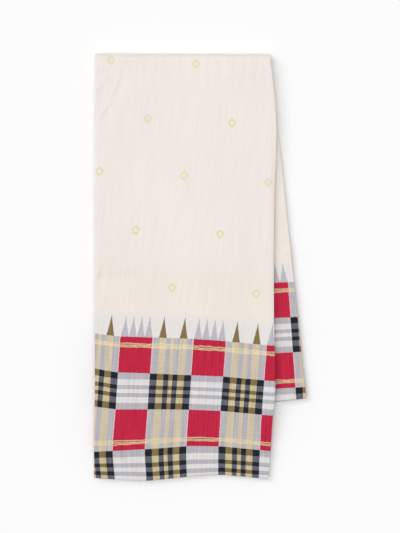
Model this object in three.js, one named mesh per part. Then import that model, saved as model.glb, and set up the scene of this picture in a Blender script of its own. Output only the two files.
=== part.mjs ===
// A saree folded into a narrow strip and folded over once near its middle, lying flat on a table.
// Units are millimetres, +Z is up, and -Y is the end where both hems of the folded strip lie.
// The long cloth zigzags to and fro inside the strip. Three stretches of it show: the front one,
// which runs over the fold, the one on top of the back flap, and the one underneath.
// The layers between them are one solid with a layered edge.
import * as THREE from 'three';
import { mergeVertices } from 'three/addons/utils/BufferGeometryUtils.js';

// Sizes along and across the strip
const FRONT_LENGTH = 636; // fold edge to the front hem
const BACK_LENGTH = 516; // fold edge to the back hem, down its right side
const FOLD_WIDTH = 261.7; // the strip's width at the fold edge
const FOLD_LEFT = -157; // where the fold edge starts
const BACK_SWING = 54; // how far right the back flap has swung by its hem
const BACK_HEM_SLANT = 32.5; // how much lower the back hem's left end lies

// Sizes through the cloth
const WALL = 1.0; // one stretch that shows, with the layer that clings to it
const SEAM = 0.3; // gap between a stretch and the layers under it
const FLAP = 9.6; // one flap of the strip, all its layers
const SLOT = 0.4; // gap between the two flaps
const FOLD_RADIUS = FLAP + SLOT / 2;
const STRETCH_TURN = -75; // degrees round the fold at which the front stretch gives way
const FRONT_LAYERS_TURN = 1.3; // degrees round the fold at which the front flap's layers end
const BACK_LAYERS_TURN = -10; // and at which the back flap's begin

const HEM_DROP_REACH = 96; // how far past the back hem the front flap takes to reach the table

// How the strip's edges are rounded and layered
const EDGE_ROUND = 6; // how far in from an edge the rounding starts
const EDGE_SQUEEZE = 0.16; // share of a flap's thickness lost at its edge
const LAYER_COUNT = 5; // bundles of layers that can be told apart at an edge
const DEPTH_STEPS = 2 * LAYER_COUNT;
const LAYER_GROOVE = 1.1; // depth of the groove between two bundles
const LAYER_INSET = 0.4; // the bundles end at least this far inside the outer stretch
const LAYER_WANDER = 0.3; // how much each bundle runs in and out along the edge
const LAYER_HEM_STEP = 0.5; // how unevenly the bundles end at a hem

// How finely the cloth is divided
const HEM_ROWS = 14; // on the part of the front flap that drops to the table
const HEM_ROWS_REACH = 170; // how far up from the hem they run
const FLAT_ROWS = 20; // on the rest of the front flap
const HALF_FOLD_ROWS = 5; // round the upper half of the fold, and again round the lower
const BACK_ROWS = 7;
const COLUMNS = 11;
const EDGE_COLUMNS = [0, 0.006, 0.02]; // shares of the width, closer together at each edge

// The front flap's side edges, each row a distance down from the fold edge
const FRONT_EDGES = [
  { down: 0, left: -157.0, right: 104.7 },
  { down: 102, left: -157.4, right: 114.0 },
  { down: 220, left: -157.6, right: 111.2 },
  { down: 400, left: -158.0, right: 110.6 },
  { down: 483, left: -158.3, right: 112.8 },
  { down: 520, left: -158.5, right: 111.6 },
  { down: 542, left: -158.6, right: 108.9 },
  { down: 595, left: -158.8, right: 105.6 },
  { down: 640, left: -158.9, right: 102.0 },
];

// The front hem: share of the way across from the left, and how far it hangs past its mean line
const FRONT_HEM = [
  { across: 0, past: -0.6 },
  { across: 0.11, past: 1.3 },
  { across: 0.29, past: 3.6 },
  { across: 0.53, past: -2.4 },
  { across: 0.71, past: -5.2 },
  { across: 0.84, past: -3.0 },
  { across: 1, past: 0.6 },
];
const HEM_REACH = 150; // how far up from the hem its waves are felt

// The front flap's largest creases: the middle of each, its heading in degrees from +X,
// its half length and half width, and its height, negative for a trough
const CREASES = [
  { name: 'upper left', x: -130, down: 64, heading: 64, half: 42, wide: 11, high: -1.1 },
  { name: 'middle left', x: -124, down: 333, heading: 7, half: 46, wide: 14, high: -1.2 },
  { name: 'middle right', x: 56, down: 323, heading: 2, half: 66, wide: 17, high: -0.9 },
  { name: 'fold crest', x: 28, down: 19, heading: -60, half: 20, wide: 9, high: -0.8 },
  { name: 'fold corner', x: 96, down: 26, heading: -60, half: 24, wide: 9, high: -1.0 },
  { name: 'hem corner', x: -140, down: 600, heading: -72, half: 34, wide: 9, high: -1.2 },
  { name: 'hem bulge', x: -34, down: 590, heading: 84, half: 48, wide: 22, high: 1.0 },
  { name: 'hem hollow', x: 42, down: 604, heading: 88, half: 40, wide: 18, high: -0.8 },
];

const CREAM = 0xefe8e0;
const SHADED_CREAM = 0xe1d9cd;
const LAYERED_CREAM = 0xe8e0d4;
const CLOTH_ROUGHNESS = 0.72;

const { clamp, degToRad, lerp, radToDeg } = THREE.MathUtils;

// Rises from 0 to 1 with level ends.
function ease(share) {
  const s = clamp(share, 0, 1);
  return s * s * (3 - 2 * s);
}

// A table column's slope at one of its rows.
function slopeAt(rows, key, column, i) {
  const before = rows[Math.max(i - 1, 0)];
  const after = rows[Math.min(i + 1, rows.length - 1)];
  return (after[column] - before[column]) / (after[key] - before[key]);
}

// A table column's value between its rows, on a smooth curve through them.
function readTable(rows, key, column, at) {
  const found = rows.findIndex((row) => row[key] > at);
  const i = found < 0 ? rows.length - 2 : Math.max(found - 1, 0);
  const span = rows[i + 1][key] - rows[i][key];
  const s = clamp((at - rows[i][key]) / span, 0, 1);
  const late = ease(s);
  const leave = s * (1 - s) * (1 - s) * span * slopeAt(rows, key, column, i);
  const arrive = s * s * (s - 1) * span * slopeAt(rows, key, column, i + 1);
  return lerp(rows[i][column], rows[i + 1][column], late) + leave + arrive;
}

// The back flap's corners, with the fold edge along y = 0
const backHem = {
  left: new THREE.Vector2(FOLD_LEFT + BACK_SWING, -BACK_LENGTH - BACK_HEM_SLANT),
  right: new THREE.Vector2(FOLD_LEFT + FOLD_WIDTH + BACK_SWING, -BACK_LENGTH),
};

// How far a point lies to the right of the line from one place to another, seen from above.
function rightOf(from, to, x, y) {
  const run = to.clone().sub(from).normalize();
  return run.y * (x - from.x) - run.x * (y - from.y);
}

// How much of its height on the back flap the front flap keeps, from 1 down to 0 past the back hem.
function carried(x, y) {
  const past = clamp(rightOf(backHem.left, backHem.right, x, y) / HEM_DROP_REACH, 0, 1);
  return 1 - (past + ease(past)) / 2;
}

function creaseHeight(x, y) {
  let height = 0;
  for (const crease of CREASES) {
    const heading = degToRad(crease.heading);
    const dx = x - crease.x;
    const dy = y + crease.down;
    const lengthwise = (dx * Math.cos(heading) + dy * Math.sin(heading)) / crease.half;
    const sideways = (dy * Math.cos(heading) - dx * Math.sin(heading)) / crease.wide;
    height += crease.high * Math.exp(-(lengthwise ** 4) - sideways ** 2);
  }
  return height;
}

// A point of the front flap: down from the fold edge, across from 0 to 1, and its depth in the cloth.
function onFront(down, across, depth) {
  const waves = ease((down - FRONT_LENGTH + HEM_REACH) / HEM_REACH);
  const left = readTable(FRONT_EDGES, 'down', 'left', down);
  const right = readTable(FRONT_EDGES, 'down', 'right', down);
  const x = lerp(left, right, across);
  const y = -down - waves * readTable(FRONT_HEM, 'across', 'past', across);
  const top = FLAP + (FLAP + SLOT) * carried(x, y);
  const pressed = 1 - depth / FLAP; // creases fade out towards the flap's underside
  return new THREE.Vector3(x, y, top - depth + creaseHeight(x, y) * pressed);
}

// A point round the fold, by its angle above the fold's axis.
function onFold(angle, across, depth) {
  const radius = FOLD_RADIUS - depth;
  const crest = onFront(FOLD_RADIUS, across, depth);
  const rise = crest.z - FOLD_RADIUS - radius; // what is left of a crease that crosses the crest
  return new THREE.Vector3(
    crest.x,
    crest.y + radius * Math.cos(angle),
    FOLD_RADIUS + radius * Math.sin(angle) + rise * ease(Math.sin(angle)),
  );
}

// A point of the back flap: its share of the way from the fold to the hem.
function onBack(share, across, depth) {
  const start = onFold(-Math.PI / 2, across, 0);
  const hem = backHem.left.clone().lerp(backHem.right, across);
  return new THREE.Vector3(lerp(start.x, hem.x, share), lerp(start.y, hem.y, share), depth);
}

// Evenly spaced values, both ends included.
const steps = (count, from, to) => Array.from({ length: count + 1 }, (_, i) => lerp(from, to, i / count));

// Rows of the cloth's path, each a function of across and depth. An end inset shortens a hem's row.
function frontRows(endInset) {
  const rowsFrom = FRONT_LENGTH - HEM_ROWS_REACH;
  const downs = [
    ...steps(HEM_ROWS, FRONT_LENGTH, rowsFrom),
    ...steps(FLAT_ROWS, rowsFrom, FOLD_RADIUS).slice(1),
  ];
  return downs.map((down) => {
    const hem = down === FRONT_LENGTH ? 1 : 0;
    return (across, depth) => onFront(down - hem * endInset(depth), across, depth);
  });
}

function foldRows(count, fromDegrees, toDegrees) {
  return steps(count, degToRad(fromDegrees), degToRad(toDegrees)).map((angle) =>
    (across, depth) => onFold(angle, across, depth));
}

function backRows(endInset) {
  return steps(BACK_ROWS, 0, 1).map((share) => {
    const hem = share === 1 ? 1 : 0;
    return (across, depth) => onBack(share - (hem * endInset(depth)) / BACK_LENGTH, across, depth);
  });
}

// Shares of the width at which the cloth is divided, closer together near both edges
const edgeShare = EDGE_COLUMNS.at(-1);
const acrossShares = [
  ...EDGE_COLUMNS,
  ...steps(COLUMNS, edgeShare, 1 - edgeShare).slice(1, -1),
  ...EDGE_COLUMNS.map((share) => 1 - share).reverse(),
];

// Draws the layers together towards the middle of the flap near its side edges.
function rounded(across, depth) {
  const toEdge = Math.min(across, 1 - across) * FOLD_WIDTH;
  const near = clamp(1 - toEdge / EDGE_ROUND, 0, 1);
  const squeeze = 1 - EDGE_SQUEEZE * (1 - Math.sqrt(1 - near * near));
  return FLAP / 2 + (depth - FLAP / 2) * squeeze;
}

// A closed body from points set out in rows along the cloth, columns across it and steps through it.
function bodyFrom(points) {
  const rows = points.length - 1;
  const columns = points[0].length - 1;
  const layers = points[0][0].length - 1;
  const positions = [];
  const addFace = (a, b, c, d, flipped) => {
    const corners = flipped ? [a, c, b, a, d, c] : [a, b, c, a, c, d];
    corners.forEach((p) => positions.push(p.x, p.y, p.z));
  };
  for (let r = 0; r < rows; r += 1) {
    for (let c = 0; c < columns; c += 1) {
      for (const s of [0, layers]) {
        const [near, far] = [points[r], points[r + 1]];
        addFace(near[c][s], near[c + 1][s], far[c + 1][s], far[c][s], s > 0);
      }
    }
    for (let s = 0; s < layers; s += 1) {
      for (const c of [0, columns]) {
        const [near, far] = [points[r][c], points[r + 1][c]];
        addFace(near[s], far[s], far[s + 1], near[s + 1], c > 0);
      }
    }
  }
  for (const r of [0, rows]) {
    for (let c = 0; c < columns; c += 1) {
      for (let s = 0; s < layers; s += 1) {
        const [left, right] = [points[r][c], points[r][c + 1]];
        addFace(left[s], left[s + 1], right[s + 1], right[s], r > 0);
      }
    }
  }
  const geometry = new THREE.BufferGeometry();
  geometry.setAttribute('position', new THREE.Float32BufferAttribute(positions, 3));
  const merged = mergeVertices(geometry);
  merged.computeVertexNormals();
  return merged;
}

function clothMesh(name, color, geometry) {
  const material = new THREE.MeshStandardMaterial({
    color,
    roughness: CLOTH_ROUGHNESS,
    metalness: 0,
    side: THREE.DoubleSide,
  });
  const mesh = new THREE.Mesh(geometry, material);
  mesh.name = name;
  return mesh;
}

// One stretch of cloth that shows: a wall between two depths, flat or rounded at its side edges.
function stretch(rows, outerDepth, shape) {
  const depths = [outerDepth, outerDepth + WALL];
  const points = rows.map((row) =>
    acrossShares.map((across) => depths.map((depth) => row(across, shape(across, depth)))));
  return bodyFrom(points);
}

const flat = (across, depth) => depth;
const flush = () => 0;

function makeFrontStretch() {
  const rows = [
    ...frontRows(flush),
    ...foldRows(HALF_FOLD_ROWS, 90, 0).slice(1),
    ...foldRows(HALF_FOLD_ROWS, 0, STRETCH_TURN).slice(1),
  ];
  return clothMesh('front_stretch', CREAM, stretch(rows, 0, rounded));
}

function makeUnderStretch() {
  const gap = radToDeg(SEAM / FOLD_RADIUS);
  const rows = [...foldRows(1, STRETCH_TURN - gap, -90), ...backRows(flush).slice(1)];
  return clothMesh('under_stretch', SHADED_CREAM, stretch(rows, 0, flat));
}

function makeBackStretch() {
  return clothMesh('back_stretch', SHADED_CREAM, stretch(backRows(flush), FLAP - WALL, flat));
}

// How far a bundle of layers stops short of the side edge, by its step through the cloth.
function bundleInset(step, row, side) {
  const groove = step % 2 === 0 ? LAYER_GROOVE : 0;
  const wander = 0.5 + 0.5 * Math.sin(row * 0.55 + step * 2.3 + side * 1.7);
  return LAYER_INSET + groove + LAYER_WANDER * wander;
}

// How far a bundle of layers stops short of a hem.
function hemInset(depth) {
  const step = Math.round((DEPTH_STEPS * (depth - WALL - SEAM)) / (FLAP - WALL - SEAM));
  return LAYER_HEM_STEP * (2 + Math.sin(step * 2.1)) + (step % 2 === 0 ? LAYER_GROOVE : 0);
}

// The layers of one flap that don't show: one solid from its outer to its inner depth.
function hiddenLayers(name, rows, inner) {
  const points = rows.map((row, r) =>
    acrossShares.map((across) => {
      const side = across < 0.5 ? 0 : 1;
      const towardsEdge = clamp(1 - Math.min(across, 1 - across) / edgeShare, 0, 1);
      return steps(DEPTH_STEPS, WALL + SEAM, inner).map((depth, step) => {
        const inset = (towardsEdge * bundleInset(step, r, side)) / FOLD_WIDTH;
        return row(across + (side === 0 ? inset : -inset), rounded(across, depth));
      });
    }));
  return clothMesh(name, LAYERED_CREAM, bodyFrom(points));
}

function makeFrontLayers() {
  const rows = [...frontRows(hemInset), ...foldRows(HALF_FOLD_ROWS, 90, FRONT_LAYERS_TURN).slice(1)];
  return hiddenLayers('front_layers', rows, FLAP);
}

// The back flap's layers stop below the stretch that lies on them.
function makeBackLayers() {
  const rows = [...foldRows(HALF_FOLD_ROWS, BACK_LAYERS_TURN, -90), ...backRows(hemInset).slice(1)];
  return hiddenLayers('back_layers', rows, FLAP - WALL - SEAM);
}

const saree = new THREE.Group();
saree.add(
  makeFrontStretch(),
  makeBackStretch(),
  makeUnderStretch(),
  makeFrontLayers(),
  makeBackLayers(),
);

// The origin is the middle of the whole saree, on the table.
const bounds = new THREE.Box3().setFromObject(saree);
const middle = bounds.getCenter(new THREE.Vector3());
saree.position.set(-middle.x, -middle.y, -bounds.min.z);

export default saree;
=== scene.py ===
# %% [markdown]
# # A folded saree, from one long cloth
# A saree is one cloth about 5.5 m long and 1.15 m wide. Here it zigzags to and fro into a strip
# 0.26 m wide, 21 layers deep, and the strip is folded over once near its middle. It lies flat on
# a table, seen from straight above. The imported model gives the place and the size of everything;
# this script dresses it with cloth that is as thin as cloth, and with the woven border.

import bpy
import numpy as np
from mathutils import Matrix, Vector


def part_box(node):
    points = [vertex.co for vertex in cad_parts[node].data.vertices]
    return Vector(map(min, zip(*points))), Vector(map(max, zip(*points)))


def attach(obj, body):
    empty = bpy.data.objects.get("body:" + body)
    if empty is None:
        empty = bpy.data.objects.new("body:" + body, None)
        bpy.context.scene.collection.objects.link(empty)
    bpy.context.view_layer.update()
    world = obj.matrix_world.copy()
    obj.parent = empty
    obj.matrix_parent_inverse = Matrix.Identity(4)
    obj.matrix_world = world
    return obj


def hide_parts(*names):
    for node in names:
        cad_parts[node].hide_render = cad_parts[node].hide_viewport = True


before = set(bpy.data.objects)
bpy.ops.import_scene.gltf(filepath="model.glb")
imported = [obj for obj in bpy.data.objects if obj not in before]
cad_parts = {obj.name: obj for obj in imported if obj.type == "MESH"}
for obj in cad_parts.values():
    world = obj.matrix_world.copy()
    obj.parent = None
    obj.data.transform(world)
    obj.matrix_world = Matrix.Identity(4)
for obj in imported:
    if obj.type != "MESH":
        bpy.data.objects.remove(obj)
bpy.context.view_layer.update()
print("packed nodes:", sorted(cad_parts))

# %% [markdown]
# ## Where the strip lies
# The sizes below are in millimetres, with the fold edge on y = 0 and the hems towards -Y, which
# makes them easy to check against the cloth. They are the ones that the solids were made from,
# except that the hems, the left side, the fold edge and the back flap were measured once more, and
# lie up to 1.5 mm away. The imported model's box says where the drawing lies in the shared frame.

# %% Sizes of the strip
MM = 0.001
FRONT_LENGTH = 636.0
BACK_LENGTH = 516.8
FOLD_WIDTH = 261.7
FOLD_LEFT = -157.0
BACK_SWING = 54.7
BACK_HEM_SLANT = 32.5
FLAP = 9.6
SLOT = 0.4
FOLD_RADIUS = FLAP + SLOT / 2
HEM_DROP_REACH = 96.0
EDGE_ROUND = 6.0
EDGE_SQUEEZE = 0.16
HEM_REACH = 150.0

FRONT_EDGES_DOWN = [0, 102, 220, 400, 483, 520, 542, 595, 640]
FRONT_LEFT = [-157.0, -157.2, -157.3, -157.3, -157.4, -157.6, -157.9, -158.8, -158.9]
FRONT_RIGHT = [104.7, 114.0, 111.2, 110.6, 112.8, 111.6, 108.9, 105.6, 102.0]
FRONT_HEM_ACROSS = [0, 0.11, 0.29, 0.53, 0.71, 0.84, 1]
FRONT_HEM_PAST = [0.2, 2.2, 4.5, -1.3, -4.4, -2.0, 1.9]
FOLD_SLANT = 0.8

lowest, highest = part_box("front_stretch")
drawing_origin = np.array([lowest.x / MM - min(FRONT_LEFT), highest.y / MM, 0.0])
print("the drawing's origin in the frame, mm:", drawing_origin.round(2))

# %% [markdown]
# ## Smooth curves through a few measured places
# An edge that was measured at nine places needs a value at every place between. A smooth curve
# through the places does it; straight lines would leave corners in the cloth's side.


# %% Curves
def ease(share):
    """Rises from 0 to 1 with level ends."""
    s = np.clip(share, 0, 1)
    return s * s * (3 - 2 * s)


def curve_at(keys, values, at):
    """The value at a place, on a smooth curve through the values at the keys."""
    keys = np.asarray(keys, float)
    values = np.asarray(values, float)
    last = len(keys) - 1
    i = np.clip(np.searchsorted(keys, at, side="right") - 1, 0, last - 1)
    span = keys[i + 1] - keys[i]
    s = np.clip((at - keys[i]) / span, 0, 1)

    def slope(j):
        before = np.clip(j - 1, 0, last)
        after = np.clip(j + 1, 0, last)
        return (values[after] - values[before]) / (keys[after] - keys[before])

    leave = s * (1 - s) ** 2 * span * slope(i)
    arrive = s * s * (s - 1) * span * slope(i + 1)
    return values[i] + (values[i + 1] - values[i]) * ease(s) + leave + arrive


print("front width at the fold, mm:", curve_at(FRONT_EDGES_DOWN, FRONT_RIGHT, 0.0) - FOLD_LEFT)

# %% [markdown]
# ## Creases
# Pressed cloth keeps a few soft troughs and ridges from earlier foldings. Sculpting them or
# simulating the cloth would give too many; here each one is placed one by one, as a curved line that
# is soft along its length and across it. The first eight are the ones that the solids have too.

# %% Creases of the three sides
# middle x, distance down from the fold edge, heading, half length, half width, height, bend
FRONT_CREASES = [
    (-130, 64, 64, 42, 11, -1.1, 0),
    (-124, 333, 7, 46, 14, -1.2, 0),
    (56, 323, 2, 66, 17, -0.9, 0),
    (28, 19, -60, 20, 9, -0.8, 0),
    (96, 26, -60, 24, 9, -1.0, 0),
    (-140, 600, -72, 34, 9, -1.2, 0),
    (-34, 590, 84, 48, 22, 1.0, 0),
    (42, 604, 88, 40, 18, -0.8, 0),
    (-124, 44, 74, 28, 3.4, 1.15, 6),
    (-143, 84, 54, 22, 3.2, 1.2, -3),
    (-138, 20, 3, 26, 3.4, 0.9, -2),
    (-151, 50, 44, 18, 3.6, 1.0, 2),
    (-147, 62, 86, 20, 4.5, -0.6, 0),
    (-130, 327, 9, 34, 3.4, 0.9, 3),
    (-124, 349, -3, 38, 4.0, 0.7, -3),
    (-147, 340, 86, 24, 4.5, -0.9, 0),
    (-153, 328, 62, 12, 3.0, 0.9, 0),
    (-101, 327, -12, 11, 2.8, 0.7, 1),
    (77, 318, 1, 26, 4.0, 0.6, -2),
    (22, 14, -66, 12, 2.8, 1.0, 2),
    (43, 16, -50, 13, 2.8, 0.9, -2),
    (88, 15, 2, 24, 3.6, 0.6, 1),
    (-150, 452, 88, 30, 5, 0.35, 2),
    (-126, 590, -66, 30, 6, 1.2, -6),
    (-106, 618, -30, 26, 6, 1.0, 7),
    (-104, 556, -52, 22, 5, 1.3, 4),
    (-84, 628, 8, 22, 5, 0.35, 4),
    (8, 612, 80, 26, 8, -0.3, 3),
    (86, 600, 96, 30, 8, 0.4, -4),
    (60, 214, 78, 64, 16, 0.25, 7),
    (-62, 232, 94, 80, 18, -0.25, -8),
    (98, 470, 86, 44, 9, -0.3, 4),
    (-18, 470, 12, 52, 13, 0.25, 6),
    (112, 270, 90, 165, 4.0, -1.4, 0),
]
BACK_CREASES = [
    (130, 297, 26, 16, 3.0, 1.3, 2),
    (118, 240, -84, 40, 3.4, 0.8, 2),
    (142, 196, -78, 26, 6, 0.35, 3),
    (134, 330, 84, 30, 7, -0.35, 3),
    (148, 420, -70, 24, 6, 0.35, -3),
    (140, 492, 12, 22, 6, -0.4, 3),
]
UNDER_CREASES = [
    (-90, 90, -62, 48, 12, 0.5, 6),
    (-20, 160, 14, 66, 14, 0.45, -8),
    (60, 120, -38, 40, 9, 0.4, 5),
    (92, 300, 80, 60, 12, 0.5, 7),
    (-50, 330, -18, 58, 13, 0.45, 7),
    (20, 440, -8, 70, 12, 0.5, -9),
    (-70, 480, 66, 32, 9, 0.4, 4),
]


def crease_height(creases, x, down):
    """How far the creases lift the cloth at each place, negative in a trough."""
    height = np.zeros_like(x, dtype=float)
    for middle_x, middle_down, heading, half, wide, high, bend in creases:
        turn = np.radians(heading)
        dx = x - middle_x
        dy = middle_down - down
        lengthwise = (dx * np.cos(turn) + dy * np.sin(turn)) / half
        sideways = dy * np.cos(turn) - dx * np.sin(turn) - bend * lengthwise**2
        height += high * np.exp(-(lengthwise**4) - (sideways / wide) ** 2)
    return height


print("creases placed:", len(FRONT_CREASES) + len(BACK_CREASES) + len(UNDER_CREASES))

# %% [markdown]
# ## The path of the cloth
# Every layer runs the same way: up the front flap, round the fold, and down the back flap. So a
# place in the cloth is its row along that path, its share across the strip, and its depth below
# the outermost layer. One function for each stretch turns that into a point, and every layer uses
# them. A simulation could fold the cloth instead, but with so many layers in touch it would take
# very long, and a pressed stack is regular enough for sums. The front flap lies on the back one,
# and bends down to the table past its hem.

# %% The front flap and the fold
BACK_HEM_LEFT = np.array([FOLD_LEFT + BACK_SWING, -BACK_LENGTH - BACK_HEM_SLANT])
BACK_HEM_RIGHT = np.array([FOLD_LEFT + FOLD_WIDTH + BACK_SWING, -BACK_LENGTH])


def carried(x, y):
    """How much of its height on the back flap the front flap keeps, down to 0 on the table."""
    run = (BACK_HEM_RIGHT - BACK_HEM_LEFT) / np.linalg.norm(BACK_HEM_RIGHT - BACK_HEM_LEFT)
    past_hem = run[1] * (x - BACK_HEM_LEFT[0]) - run[0] * (y - BACK_HEM_LEFT[1])
    past = np.clip(past_hem / HEM_DROP_REACH, 0, 1)
    return 1 - (past + ease(past)) / 2


def on_front(down, across, depth):
    waves = ease((down - FRONT_LENGTH + HEM_REACH) / HEM_REACH)
    left = curve_at(FRONT_EDGES_DOWN, FRONT_LEFT, down)
    right = curve_at(FRONT_EDGES_DOWN, FRONT_RIGHT, down)
    x = left + (right - left) * across
    y = -down - waves * curve_at(FRONT_HEM_ACROSS, FRONT_HEM_PAST, across)
    y = y - FOLD_SLANT * ease(across) * ease(1 - down / BACK_LENGTH)
    top = FLAP + (FLAP + SLOT) * carried(x, y)
    pressed = 1 - depth / FLAP
    z = top - depth + crease_height(FRONT_CREASES, x, -y) * pressed
    return np.stack([x, y, z], axis=-1)


def on_fold(angle, across, depth):
    radius = FOLD_RADIUS - depth
    crest = on_front(FOLD_RADIUS + 0 * across, across, depth)
    rise = crest[:, 2] - FOLD_RADIUS - radius
    y = crest[:, 1] + radius * np.cos(angle)
    z = FOLD_RADIUS + radius * np.sin(angle) + rise * ease(np.sin(angle))
    return np.stack([crest[:, 0], y, z], axis=-1)


middle_point = on_front(np.array([300.0]), np.array([0.5]), np.array([0.0]))[0]
print("middle of the front flap, mm:", (middle_point + drawing_origin).round(1))

# %% [markdown]
# The back flap fans out from the fold to a hem of its own. It is pressed flat under the front flap,
# so its upper creases fade in only where it is bare. Pressed layers also draw together near the
# strip's sides, which rounds the stack there; that is the same on both flaps.

# %% The back flap, and the rounded sides
COVER_GAP = 1.0
COVER_FADE = 12.0


def front_cover(x, y):
    """0 where the front flap lies on the back one, rising to 1 where the back flap is bare."""
    edge = curve_at(FRONT_EDGES_DOWN, FRONT_RIGHT, -y)
    return ease((x - edge - COVER_GAP) / COVER_FADE)


def on_back(share, across, depth):
    start = on_fold(-np.pi / 2, across, 0 * depth)[:, :2]
    hem = BACK_HEM_LEFT + (BACK_HEM_RIGHT - BACK_HEM_LEFT) * across[:, None]
    xy = start + (hem - start) * np.reshape(share, (-1, 1))
    x, y = xy[:, 0], xy[:, 1]
    bare = crease_height(BACK_CREASES, x, -y) * front_cover(x, y)
    under = crease_height(UNDER_CREASES, x, -y)
    z = depth + bare * depth / FLAP + under * (1 - depth / FLAP)
    return np.stack([x, y, z], axis=-1)


def rounded(across, depth):
    """The layers draw together towards the middle of the flap near its side edges."""
    to_edge = np.minimum(across, 1 - across) * FOLD_WIDTH
    near = np.clip(1 - to_edge / EDGE_ROUND, 0, 1)
    squeeze = 1 - EDGE_SQUEEZE * (1 - np.sqrt(1 - near * near))
    return FLAP / 2 + (depth - FLAP / 2) * squeeze


print("depth of the outermost layer at a side, mm:", round(float(rounded(0.0, 0.0)), 2))

# %% [markdown]
# ## Where the woven pattern lies on the cloth
# The pattern belongs to the cloth, so it needs the cloth's own coordinates: u along the saree and
# v across it, from one woven edge to the other, both in metres in the UV map. The cloth has been
# pulled askew, so the rows of the border lean and drift. Five lines that were measured across the
# front flap, and two that run down it, bend the coordinates the same way.

# %% Cloth coordinates on the front flap
CLOTH_WIDTH = 1182.0
BORDER_HEIGHTS = [0, 41, 102, 157, 212]
LINE_X = [-157.5, -124.5, -75, -13.5, 33, 93, 108]
LINE_Y = [
    [-316.1, -317.7, -319.2, -314.1, -311.9, -316.4, -317.3],
    [-276.8, -275.3, -272.6, -267.9, -269.0, -274.7, -276.5],
    [-208.8, -213.2, -213.0, -213.6, -215.6, -221.3, -222.5],
    [-151.8, -157.7, -159.3, -162.0, -163.8, -169.5, -170.7],
    [-99.5, -103.7, -105.3, -107.4, -110.6, -116.4, -117.6],
]
LEAN_Y = [-316, -275, -215, -160, -105, -40, 320]
LEAN_LEFT = [-8.8, -11.8, -7.5, -3.8, 0, 5.7, 43.9]
LEAN_RIGHT = [-12.9, -11.2, -8.3, -4.0, 0, 5.7, 43.9]
LEAN_LEFT_X, LEAN_RIGHT_X = -125.0, 95.0
FIRST_RED_EDGE = -9.0


def v_on_front(x, y):
    """Distance from the front hem along the cloth, at a place seen from above."""
    lines = [np.interp(x, LINE_X, line) for line in LINE_Y]
    v = BORDER_HEIGHTS[-1] + y - lines[-1]
    for i in reversed(range(len(lines) - 1)):
        share = (y - lines[i]) / (lines[i + 1] - lines[i])
        inside = BORDER_HEIGHTS[i] + (BORDER_HEIGHTS[i + 1] - BORDER_HEIGHTS[i]) * share
        v = np.where(y < lines[i + 1], inside, v)
    return v


def u_on_front(x, y):
    """Distance along the saree from the left edge of a red column."""
    left = curve_at(LEAN_Y, LEAN_LEFT, y)
    right = curve_at(LEAN_Y, LEAN_RIGHT, y)
    share = np.clip((x - LEAN_LEFT_X) / (LEAN_RIGHT_X - LEAN_LEFT_X), 0, 1)
    return x - FIRST_RED_EDGE - left - (right - left) * share


hem_place = np.array([0.0]), np.array([-314.0])
print("v near the front hem, mm:", v_on_front(*hem_place).round(1))

# %% [markdown]
# The back flap shows the cloth's other woven edge, turned a little against the front one. It has
# its own few measured lines, and one red column whose right edge leans. On the underside, where
# nothing was measured, the pattern runs straight down to the back hem.

# %% Cloth coordinates on the back flap
BACK_HEIGHTS = [21, 41, 102, 157, 212, 244, 558]
BACK_LINES = [-201.2, -181.7, -128.6, -75.8, -22.8, 6.3, 320.3]
BACK_LINES_X = 127.5
BACK_LINES_TILT = 0.055
BACK_RED_X, BACK_RED_Y = 132, -22.8
BACK_RED_LEAN = 0.0702
RED_RIGHT_EDGE = 48.0


def v_on_back(x, y):
    """Distance from the front hem, counted so that the back hem's border mirrors the front's."""
    level = y - BACK_LINES_TILT * (x - BACK_LINES_X)
    return CLOTH_WIDTH - np.interp(level, BACK_LINES, BACK_HEIGHTS)


def u_on_back(x, y):
    """Distance along the saree, from the right edge of the red column that shows there."""
    return RED_RIGHT_EDGE + x - BACK_RED_X + BACK_RED_LEAN * (y - BACK_RED_Y)


print("the back flap's lines lie, mm from its hem:", BACK_HEIGHTS)

# %% [markdown]
# ## From rows of points to a cloth
# A cloth is a grid: rows along it and columns across it. Blender takes the corners and the faces
# as plain lists, and the cloth coordinates go in a named UV map, one pair for each face corner.
# The Solidify modifier then gives it the thickness of a real fabric, so that its edges show.

# %% Build one cloth from its grid
CLOTH_THICKNESS = 0.3


def in_scene(name, data):
    """A new object of this mesh, light or camera."""
    made = bpy.data.objects.new(name, data)
    bpy.context.collection.objects.link(made)
    return made


def cloth_object(name, points, coords):
    """points: rows x columns x 3, in mm on the drawing. coords: rows x columns x 2, in mm."""
    rows, columns = points.shape[:2]
    corners = (points + drawing_origin).reshape(-1, 3) * MM
    index = np.arange(rows * columns).reshape(rows, columns)
    faces = np.stack(
        [index[:-1, :-1], index[:-1, 1:], index[1:, 1:], index[1:, :-1]], axis=-1
    ).reshape(-1, 4)
    mesh = bpy.data.meshes.new(name)
    mesh.from_pydata(corners.tolist(), [], faces.tolist())
    uv = mesh.uv_layers.new(name="cloth")
    uv.data.foreach_set("uv", (coords.reshape(-1, 2) * MM)[faces.ravel()].ravel())
    mesh.shade_smooth()
    cloth = in_scene(name, mesh)
    solidify = cloth.modifiers.new("thickness", "SOLIDIFY")
    solidify.thickness = CLOTH_THICKNESS * MM
    solidify.offset = 0
    print(name, "has about", 4 * len(faces), "triangles with its thickness")
    return cloth


def along(points):
    """Length along each row of points, from its first column."""
    steps = np.linalg.norm(np.diff(points, axis=1), axis=2)
    return np.concatenate([np.zeros((len(points), 1)), np.cumsum(steps, axis=1)], axis=1)


# %% [markdown]
# ## The outer cloth
# The outermost layer is seen on the front flap, over the fold and underneath. Its two long sides
# are folds: the cloth turns under there and goes on as the next layer. A flat sheet would show a
# cut edge there. So the grid's columns run from a hidden lip, round a narrow loop, across the
# strip, round the other loop, to another lip, and the lips end where nobody can see them.

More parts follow.
